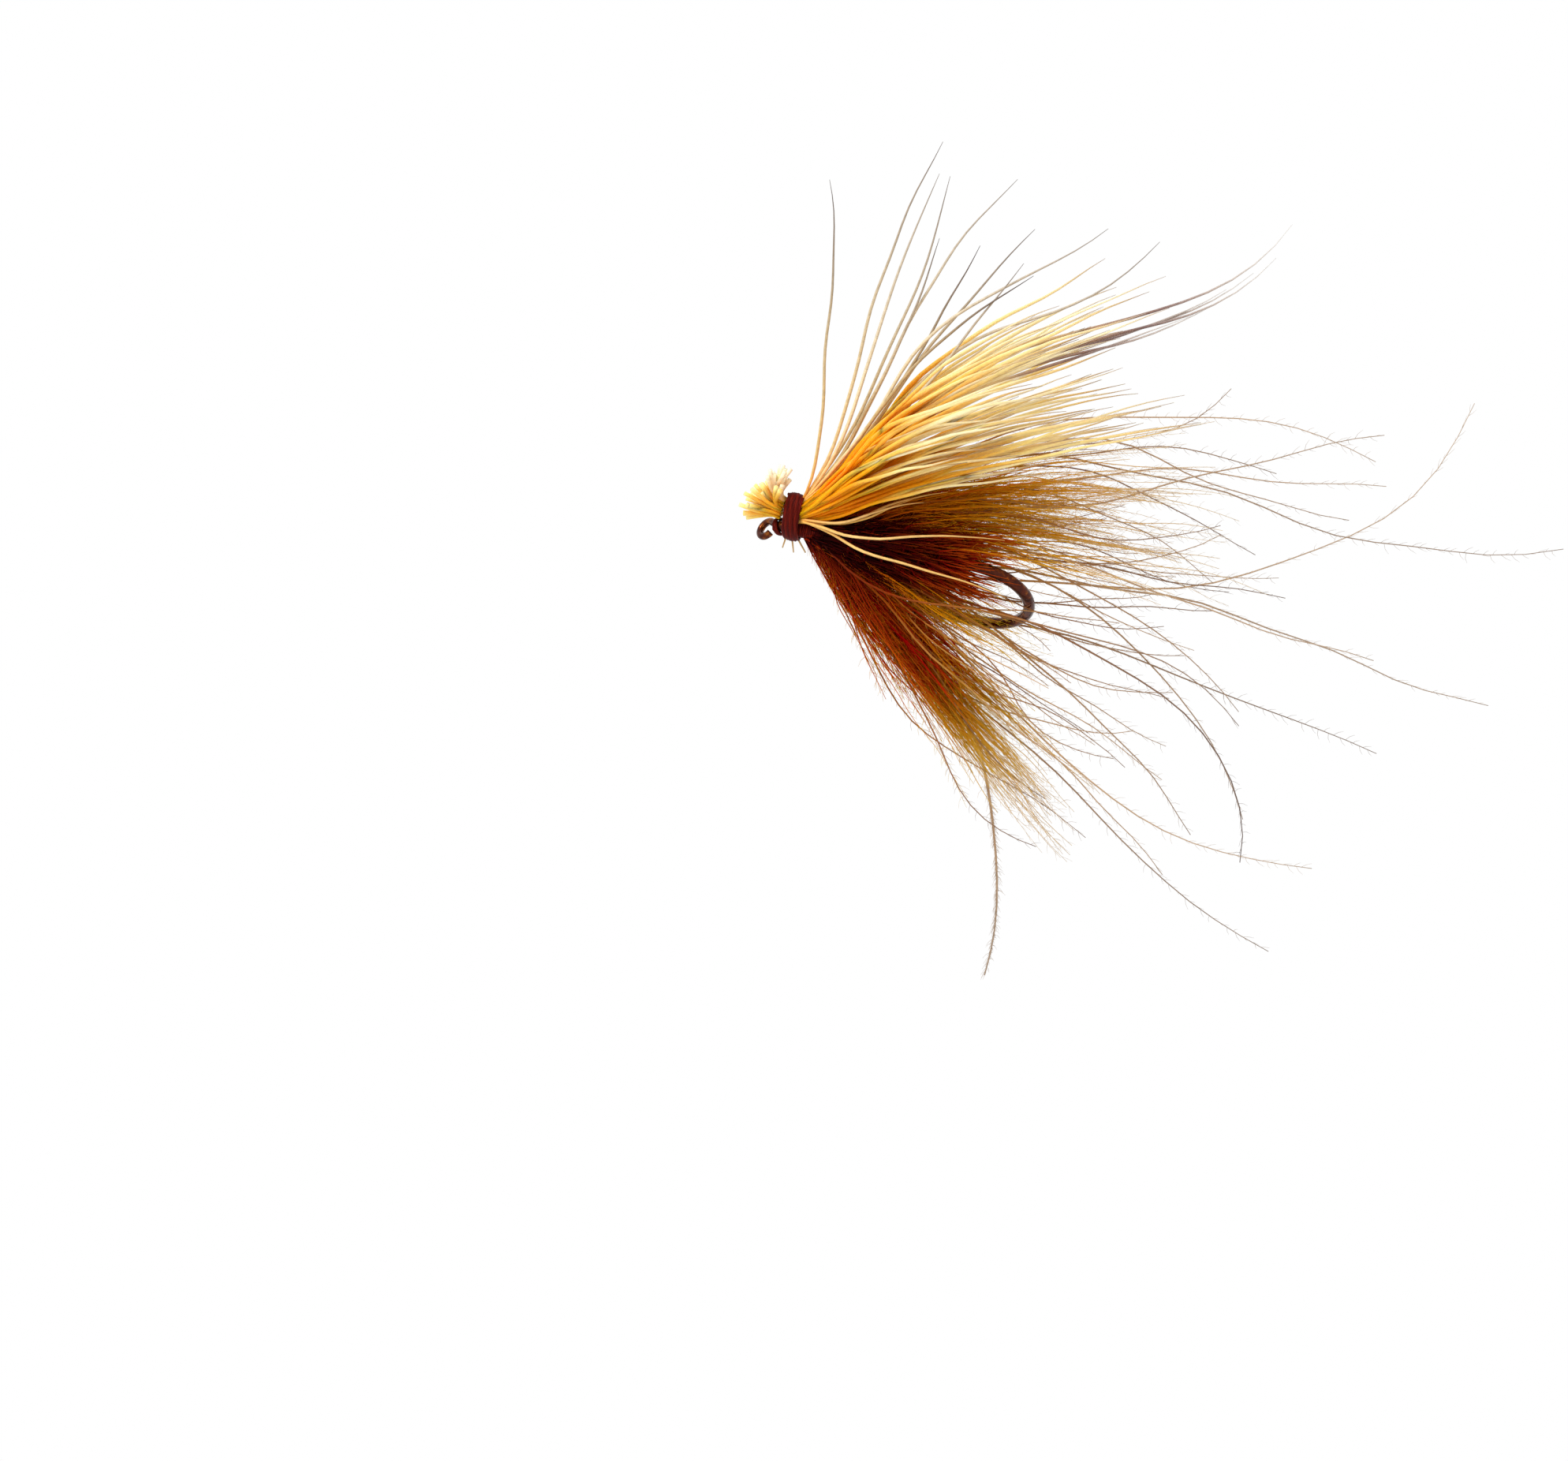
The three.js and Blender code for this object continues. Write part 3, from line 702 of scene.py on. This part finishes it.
def wire_material():
    """Bronzed steel under lacquer, with faint drawing marks."""
    material, nodes, links = new_material("bronzed_wire")
    shader = nodes["Principled BSDF"]
    grain = add_grain(nodes, links, shader, size=0.25, roughness=0.24, depth=0.004)
    ramp = colour_ramp(nodes, [(0.3, "2c0800"), (0.55, "541c00"), (0.8, "a8600c")])
    links.new(grain, ramp.inputs["Fac"])
    links.new(ramp.outputs["Color"], shader.inputs["Base Color"])
    shader.inputs["Metallic"].default_value = 0.8
    shader.inputs["Coat Weight"].default_value = 0.1
    shader.inputs["Coat Roughness"].default_value = 0.08
    return material


# ---------------------------------------------------------------- hook and thread
def hook_line():
    """Centreline and radius of the wire, from the end of the eye's ring to the point."""
    turn = math.radians(EYE_TURN_DOWN)
    back = np.array([math.cos(turn), 0, math.sin(turn)])
    aside = np.array([0, 1, 0])
    ring = np.radians(np.linspace(EYE_RING_FROM, EYE_RING_TO, EYE_RING_POINTS))
    line = [EYE_RING_R * (math.cos(a) * back + math.sin(a) * aside) for a in ring]
    radii = [EYE_WIRE_R] * len(line)
    for reach, off, r in NECK:
        line.append(reach * back + off * aside)
        radii.append(r)
    line += [np.array([x, 0, z]) for x, z in NECK_JOIN]
    line += [np.array([x, 0, SHANK_Z]) for x in np.linspace(SHANK_START_X, SHANK_END_X, SHANK_POINTS)]
    bend_r = GAP / 2
    for a in np.radians(np.arange(BEND_STEP, 180 + BEND_STEP, BEND_STEP)):
        line.append(np.array([SHANK_END_X + bend_r * math.sin(a), 0, SHANK_Z - bend_r * (1 - math.cos(a))]))
    radii += [WIRE_R] * (len(line) - len(radii))
    for behind, rise, r in POINT_TAPER:
        line.append(point_place(behind, rise))
        radii.append(r)
    return np.array(line), np.array(radii)


def point_place(behind, rise):
    """A place on the hook's lower leg, by its distance behind the tip and its rise."""
    tip_x, low = SHANK_END_X - POINT_LENGTH, SHANK_Z - GAP
    return np.array([tip_x + behind, 0, low + rise])


def build_hook():
    bundle = Bundle()
    line, radii = hook_line()
    bundle.add(line, radii, np.zeros(len(line)), PLAIN_TINT, WIRE_SIDES)
    barb_line = np.array([point_place(behind, rise) for behind, rise, _ in POINT_BARB])
    barb_radii = [r for _, _, r in POINT_BARB]
    bundle.add(barb_line, barb_radii, np.zeros(len(barb_line)), PLAIN_TINT, POINT_BARB_SIDES)
    declare(bundle, "hook", wire_material())


def wraps(place, turns, steps_per_turn):
    """A thread wound turns times: place(progress, angle) gives its centre."""
    count = turns * steps_per_turn
    return np.array([place(i / count, 2 * math.pi * i / steps_per_turn) for i in range(count + 1)])


def collar_wrap(progress, angle):
    length = COLLAR_TO - COLLAR_FROM - 2 * COLLAR_WRAP_INSET
    x = COLLAR_FROM + COLLAR_WRAP_INSET + length * progress
    proud = COLLAR_WRAP_CLEAR + COLLAR_WRAP_SWELL * math.sin(math.pi * progress)
    return wing_point(
        x,
        (COLLAR_HALF_WIDTH + proud) * math.sin(angle),
        COLLAR_CENTRE + (COLLAR_HALF_HEIGHT + proud) * math.cos(angle),
    )


def whip_wrap(progress, angle):
    turn = math.radians(EYE_TURN_DOWN)
    reach = WHIP_FROM + WHIP_LENGTH * progress
    r = WHIP_R + WHIP_SWELL * math.sin(math.pi * progress)
    side, up = r * math.sin(angle), r * math.cos(angle)
    x = reach * math.cos(turn) - up * math.sin(turn)
    z = reach * math.sin(turn) + up * math.cos(turn)
    return np.array([x, side, z])


def underbody_wrap(progress, angle):
    x = UNDERBODY_FROM + UNDERBODY_LENGTH * progress
    return np.array([x, UNDERBODY_R * math.sin(angle), SHANK_Z + UNDERBODY_R * math.cos(angle)])


def build_thread(material):
    """Each winding of thread, by its node, path, turns and steps in a turn."""
    for node, place, turns, steps in (
        ("thread_collar", collar_wrap, COLLAR_TURNS, THREAD_STEPS_PER_TURN),
        ("whip_finish_wraps", whip_wrap, WHIP_TURNS, THREAD_STEPS_PER_TURN),
        ("thread_underbody", underbody_wrap, UNDERBODY_TURNS, UNDERBODY_STEPS_PER_TURN),
    ):
        bundle = Bundle()
        line = wraps(place, turns, steps)
        line = line + rng.normal(0, THREAD_JITTER, line.shape)
        step = np.arange(len(line))
        shade = 0.5 + 0.5 * np.sin(step * THREAD_SHADE_PACE)
        radii = THREAD_R * (1 + THREAD_GIRTH_SWING * np.sin(step * THREAD_GIRTH_PACE))
        bundle.add(line, radii, shade, THREAD_TINT, THREAD_SIDES)
        declare(bundle, node, material)


# ---------------------------------------------------------------- deer-hair wing
def add_butt(bundle, side, height, cut, spread):
    """The cut end of a hair, standing ahead of the collar."""
    clear = BUTT_CLEAR + BUTT_STAGGER * (BUTT_STAGGER_TOP - height)
    front = wing_point(COLLAR_FROM - clear, side, height)
    cut = math.radians(cut + rng.normal(0, BUTT_CUT_SCATTER))
    spread = math.radians(spread + rng.normal(0, BUTT_SPREAD_SCATTER))
    ahead = wing_vector(-1, 0, BUTT_SLOPE)
    way = wing_vector(-math.cos(cut), math.sin(spread), math.sin(cut))
    line = path(front, [ahead, way, way], rng.uniform(*BUTT_LENGTHS), BUTT_STEPS, BUTT_WAVE)
    radii = np.linspace(BUTT_ROOT_R, HAIR_R * rng.uniform(*BUTT_GIRTH), len(line))
    along = np.linspace(BUTT_COLOUR_FROM * BUTT_SHARE, 0, len(line))
    bundle.add(line, radii, along, rng.uniform(0, 1), BUTT_SIDES)


def add_hair(bundle, side, height, ways, length, r, wave=HAIR_WAVE, tint=None):
    """One hair from under the collar back through ways to its tip."""
    rear = wing_point(COLLAR_TO - HAIR_TUCK, side, height)
    start = unit(unit(ways[0]) + np.array([HAIR_SET_OFF, 0, 0]))
    line = path(rear, [start, *ways], length, HAIR_STEPS, wave)
    t = np.linspace(0, 1, len(line))
    pinch = np.minimum(1, HAIR_PINCH + HAIR_PINCH_EASE * t)
    radii = r * pinch * (1 - t ** HAIR_TAPER_POWER) + HAIR_TIP_R
    tint = rng.uniform() if tint is None else tint
    bundle.add(line, radii, BUTT_SHARE + (1 - BUTT_SHARE) * t, tint, HAIR_SIDES)


def slot_place(row, slot_side):
    """A place for one hair in its lock's slot in the collar: how far sideways, and how high."""
    side = slot_side + rng.uniform(-SLOT_JITTER, SLOT_JITTER)
    height = row["height"] + rng.uniform(-SLOT_JITTER, SLOT_JITTER)
    return side, height


def wing_lock(row, slot_side, turn, length):
    """One lock of hair: its cut butts ahead of the collar and its hairs behind."""
    bundle = Bundle()
    for _ in range(BUTTS_PER_LOCK):
        side, height = slot_place(row, slot_side)
        add_butt(bundle, side, height, row["butt"], BUTT_FAN * turn)
    lean = rng.normal(0, LOCK_LEAN, 2)
    for _ in range(HAIRS_PER_LOCK):
        side, height = slot_place(row, slot_side)
        lift, aside = (row["lift"], turn) + lean + rng.normal(0, HAIR_SCATTER, 2)
        ways = []
        for share in WING_ARC:
            ways.append(wing_way(lift + row["rise"] * share, aside + rng.normal(0, TURN_SCATTER)))
        reach = length * rng.uniform(*HAIR_REACH)
        r = HAIR_R * rng.uniform(*HAIR_GIRTH)
        tint = rng.uniform(0, row["tint"])
        add_hair(bundle, side, height, ways, reach, r, tint=tint)
    return bundle


def build_loose_hairs():
    """The strays, the long lock and the near hairs, each group shared out over its nodes."""
    groups = (
        (STRAY_HAIRS, stray_hair_material(), STRAY_HAIR_R, (1, 2, 3, 4)),
        (LONG_HAIRS, long_hair_material(), LONG_HAIR_R, (5, 6)),
        (NEAR_HAIRS, pale_hair_material(), NEAR_HAIR_R, (7, 8)),
    )
    for hairs, material, r, numbers in groups:
        near = hairs is NEAR_HAIRS
        for first, number in enumerate(numbers):
            bundle = Bundle()
            for length, ways in hairs[first::len(numbers)]:
                if near:
                    side = NEAR_SIDE
                    height = NEAR_HEIGHT + rng.uniform(-NEAR_HEIGHT_JITTER, NEAR_HEIGHT_JITTER)
                else:
                    side = rng.uniform(-STRAY_SIDE_JITTER, STRAY_SIDE_JITTER)
                    height = STRAY_HEIGHT
                ways = [barb_way(*way) for way in ways]
                add_hair(bundle, side, height, ways, length, r, wave=LOOSE_HAIR_WAVE)
                if not near:
                    add_butt(bundle, side, height, STRAY_BUTT, 0)
            declare(bundle, f"wing_hair_{number}", material)


def build_wing():
    hair = deer_hair_material()
    count = 0
    for row in WING_ROWS:
        for i, (turn, length) in enumerate(zip(row["turns"], row["lengths"])):
            count += 1
            slot_side = (i - (len(row["turns"]) - 1) / 2) * SLOT_PITCH
            bundle = wing_lock(row, slot_side, turn, length)
            declare(bundle, f"wing_lock_{count}", hair)
    build_loose_hairs()


# ---------------------------------------------------------------- body and hackle
def body_radius(x):
    return np.interp(x, *zip(*BODY_PROFILE))


def add_core(bundle):
    """The dark core of the body, ribbed by its turns."""
    x = np.linspace(BODY_PROFILE[0][0], BODY_PROFILE[-1][0], CORE_RINGS)
    line = np.stack([x, np.zeros(CORE_RINGS), np.full(CORE_RINGS, SHANK_Z)], axis=1)
    ribs = RIB_HEIGHT * np.sin(x * 2 * math.pi / RIB_PITCH)
    shade = np.full(CORE_RINGS, CORE_SHADE)
    bundle.add(line, body_radius(x) + ribs - CORE_INSET, shade, CORE_SHADE, CORE_SIDES)


def add_fuzz(bundle):
    """One short strand that leaves the body and lies back along it: near-black at the front, as painted
    shade of the wing, and redder towards the rear.
    """
    at = rng.uniform(*FUZZ_SPAN)
    a = rng.uniform(0, 2 * math.pi)
    out = np.array([0, math.sin(a), math.cos(a)])
    root = np.array([at, 0, SHANK_Z]) + out * (body_radius(at) - FUZZ_DEPTH)
    start = unit(out + np.array([FUZZ_LEAN, 0, 0]) + rng.normal(0, FUZZ_SCATTER, 3))
    back = np.array([FUZZ_TURN_BACK, 0, 0])
    ways = [start, start + back, start * FUZZ_TIP_SHARE + back]
    length = rng.uniform(FUZZ_SHORTEST, FUZZ_LONGEST + FUZZ_GROWTH * at)
    line = path(root, ways, length, FUZZ_STEPS, wave=FUZZ_WAVE)
    radii = np.linspace(FUZZ_ROOT_R, FUZZ_TIP_R, len(line))
    # Near-black at the front as painted shade of the wing, its own red towards the rear
    redness = np.clip((at - RED_FROM_X) / RED_OVER + rng.normal(0, RED_SCATTER), 0, 1)
    bundle.add(line, radii, np.linspace(CORE_SHADE, 1, len(line)), redness, FUZZ_SIDES)


def build_body(material):
    """A dark core wound from down and covered in fuzz, and the quill wound over it."""
    bundle = Bundle()
    add_core(bundle)
    for _ in range(FUZZ_COUNT):
        add_fuzz(bundle)
    declare(bundle, "wound_feather_body", material)
    quill = Bundle()
    steps = QUILL_TURNS * QUILL_STEPS_PER_TURN
    progress = np.arange(steps + 1) / steps
    x = QUILL_FROM + QUILL_LENGTH * progress
    angle = 2 * math.pi * QUILL_TURNS * progress
    r = body_radius(x) + QUILL_CLEAR
    line = np.stack([x, r * np.sin(angle), SHANK_Z + r * np.cos(angle)], axis=1)
    shade = np.full(len(line), QUILL_SHADE)
    quill.add(line, np.full(len(line), QUILL_R), shade, QUILL_SHADE, QUILL_SIDES)
    declare(quill, "feather_quill", material)


def barb(bundle, ways, root_x, length, r, fuzz, tint):
    """One down barb from the body's side at root_x, with barbules standing out from both its sides."""
    ways = [barb_way(*way) for way in ways]
    scatter = rng.normal(0, BARB_ROOT_SCATTER, 3) * [0, 1, 1]
    out = unit(np.array([0, ways[0][1], ways[0][2]]) + scatter)
    root = np.array([root_x, 0, SHANK_Z]) + out * body_radius(root_x) * rng.uniform(*BARB_ROOT_DEPTH)
    line = path(root, ways, length, BARB_STEPS, wave=BARB_WAVE)
    t = np.linspace(0, 1, len(line))
    radii = r * (1 - BARB_TAPER * t) * np.minimum(1, BARB_PINCH + BARB_PINCH_EASE * t)
    along = np.minimum(1, t * length / DOWN_COLOUR_SPAN)
    strip = bundle.add(line, radii, along, tint, BARB_SIDES)
    add_barbules(bundle, line, t, along, tint, strip, int(length * fuzz * BARBULES_PER_MM))


def clump(bundle, family):
    """A few barbs that stay together from root to tip."""
    lean = rng.normal(0, family["spread"], 2)
    bends = rng.normal(0, CLUMP_BEND, (len(family["ways"]), 2))
    tint = rng.uniform(*family["tint"])
    shortest, longest = family["lengths"]
    length = shortest + (longest - shortest) * rng.uniform() ** CLUMP_LENGTH_POWER
    root_x = rng.uniform(*CLUMP_ROOT)
    for _ in range(BARBS_PER_CLUMP):
        ways = np.array(family["ways"]) + lean + bends + rng.normal(0, CLUMP_SCATTER, (len(bends), 2))
        reach = length * rng.uniform(*CLUMP_REACH)
        shade = np.clip(tint + rng.normal(0, CLUMP_TINT_SCATTER), 0, 1)
        place = root_x + rng.normal(0, CLUMP_ROOT_JITTER)
        r = BARB_R * rng.uniform(*CLUMP_GIRTH)
        barb(bundle, ways, place, reach, r, CLUMP_FUZZ, shade)


def add_barbules(bundle, line, t, along, tint, strip, count):
    """Fine barbules all along a barb, on both sides of it, in its own strip of the UV map."""
    at = np.arange(count) + rng.uniform(0, BARBULE_SHIFT, count)
    at = BARBULES_FROM + BARBULES_SPAN * at / count
    points = np.stack([np.interp(at, t, line[:, axis]) for axis in range(3)], axis=-1)
    tangents = unit(np.gradient(line, axis=0))
    tangent = unit(np.stack([np.interp(at, t, tangents[:, axis]) for axis in range(3)], axis=-1))
    plane = unit(np.cross(tangents[len(line) // 2], rng.normal(0, 1, 3)))
    sides = np.where(np.arange(count) % 2, 1, -1)[:, None]
    out = unit(plane * sides + rng.normal(0, BARBULE_SCATTER, (count, 3)) + tangent)
    reach = BARBULE_LENGTH * rng.uniform(*BARBULE_REACH, (count, 1))
    middle = points + out * reach * 0.5
    tips = middle + unit(out + tangent * BARBULE_SWEEP) * reach * 0.5
    shade = np.interp(at, t, along)[:, None] + BARBULE_FADE
    radii = np.array(BARBULE_TAPER) * BARBULE_R
    lines = np.stack([points, middle, tips], axis=1)
    place = at[:, None] + BARBULE_STRIP
    bundle.add_many(lines, radii, shade, np.full(count, tint), place, strip, BARBULE_SIDES)


def hackle_fibre(number):
    """The long single barbs of one node: its share of those listed, then a few that wander."""
    bundle = Bundle()
    for length, ways in LONG_BARBS[number - 1::HACKLE_FIBRES]:
        root_x = rng.uniform(*LONG_BARB_ROOT)
        barb(bundle, ways, root_x, length, LONG_BARB_R, LONG_BARB_FUZZ, rng.uniform(0, 1))
    if number == PLUME_FIBRE:
        barb(bundle, **PLUME)
    for _ in range(WANDERERS):
        base = np.array([rng.uniform(*WANDER_TURN), rng.uniform(*WANDER_DROP)])
        ways = base + rng.normal(0, WANDER_SCATTER, (WANDER_WAYS, 2)) * WANDER_STRETCH
        root_x = rng.uniform(*LONG_BARB_ROOT)
        length = rng.uniform(*WANDER_LENGTHS)
        barb(bundle, ways, root_x, length, WANDERER_R, LONG_BARB_FUZZ, rng.uniform(0, 1))
    return bundle


def trimmed_stub(x, lean, length):
    """What is left of a barb that was cut off under the collar."""
    bundle = Bundle()
    lean = math.radians(lean)
    way = unit(np.array([-math.cos(lean), STUB_ASIDE, -math.sin(lean)]))
    root = wing_point(x, 0, COLLAR_CENTRE - COLLAR_HALF_HEIGHT)
    line = path(root, [way, way], length + STUB_BURIED, len(STUB_RADII) - 1)
    bundle.add(line, STUB_RADII, [STUB_SHADE] * len(STUB_RADII), STUB_TINT, STUB_SIDES)
    return bundle


def build_hackle(material):
    """Two locks of barbs for each family, then the long single barbs and the cut stubs below the head."""
    long_barbs = long_barb_material()
    number = 0
    for family in HACKLE_FAMILIES:
        for _ in range(LOCKS_PER_FAMILY):
            number += 1
            bundle = Bundle()
            for _ in range(family["clumps"] // LOCKS_PER_FAMILY):
                clump(bundle, family)
            declare(bundle, f"hackle_lock_{number}", material)
    for number in range(1, HACKLE_FIBRES + 1):
        declare(hackle_fibre(number), f"hackle_fibre_{number}", long_barbs)
    for number, stub in enumerate(STUBS, 1):
        declare(trimmed_stub(*stub), f"trimmed_barb_{number}", material)


# ---------------------------------------------------------------- camera and light
def camera_axes():
    az, el, roll = (math.radians(a) for a in (CAMERA_AZIMUTH, CAMERA_ELEVATION, CAMERA_ROLL))
    toward = np.array([math.sin(az) * math.cos(el), -math.cos(az) * math.cos(el), math.sin(el)])
    level = np.array([math.cos(az), math.sin(az), 0])
    rise = np.cross(toward, level)
    right = level * math.cos(roll) + rise * math.sin(roll)
    up = -level * math.sin(roll) + rise * math.cos(roll)
    return toward, right, up


def add_camera():
    toward, right, up = camera_axes()
    place = toward * CAMERA_DISTANCE
    aim = right * CAMERA_AIM_RIGHT + up * CAMERA_AIM_UP
    back = unit(place - aim)
    side = unit(np.cross(up, back))
    top = np.cross(back, side)
    data = bpy.data.cameras.new("camera")
    data.lens = CAMERA_LENS
    data.sensor_width = CAMERA_SENSOR
    data.clip_start, data.clip_end = CAMERA_CLIP
    camera = bpy.data.objects.new("camera", data)
    bpy.context.scene.collection.objects.link(camera)
    rotation = Matrix(np.column_stack([side, top, back]).tolist()).to_4x4()
    camera.matrix_world = Matrix.Translation(Vector(place * MM)) @ rotation
    bpy.context.scene.camera = camera


def add_area(name, toward, distance, size, watts):
    data = bpy.data.lights.new(name, "AREA")
    data.shape = "DISK"
    data.size = size * MM
    data.energy = watts
    lamp = bpy.data.objects.new(name, data)
    place = Vector(unit(toward) * distance * MM)
    lamp.location = place
    lamp.rotation_euler = place.to_track_quat("Z", "Y").to_euler()
    bpy.context.scene.collection.objects.link(lamp)


def add_lights():
    world = bpy.data.worlds.new("white_sweep")
    bpy.context.scene.world = world
    world.use_nodes = True
    background = world.node_tree.nodes["Background"]
    background.inputs["Color"].default_value = (1, 1, 1, 1)
    background.inputs["Strength"].default_value = WORLD_STRENGTH
    add_area("key_light", KEY_FROM, KEY_DISTANCE, KEY_SIZE, KEY_WATTS)
    view = bpy.context.scene.view_settings
    view.view_transform = "Standard"
    view.look = "None"
    view.exposure = 0
    view.gamma = 1


def add_floor():
    """A plain white floor under the fly, which glows so that it stays as white as the sky."""
    half = FLOOR_SIZE / 2 * MM
    corners = [(x * half, y * half, FLOOR_Z * MM) for x, y in ((-1, -1), (1, -1), (1, 1), (-1, 1))]
    mesh = bpy.data.meshes.new("floor")
    mesh.from_pydata(corners, [], [(0, 1, 2, 3)])
    floor = bpy.data.objects.new("floor", mesh)
    bpy.context.scene.collection.objects.link(floor)
    material, nodes, _ = new_material("white_floor")
    shader = nodes["Principled BSDF"]
    shader.inputs["Base Color"].default_value = (0, 0, 0, 1)
    shader.inputs["Specular IOR Level"].default_value = 0
    shader.inputs["Emission Color"].default_value = (1, 1, 1, 1)
    shader.inputs["Emission Strength"].default_value = WORLD_STRENGTH
    mesh.materials.append(material)


def build():
    build_hook()
    build_thread(thread_material())
    build_wing()
    build_body(body_material())
    build_hackle(down_material())
    add_camera()
    add_lights()
    add_floor()


build()
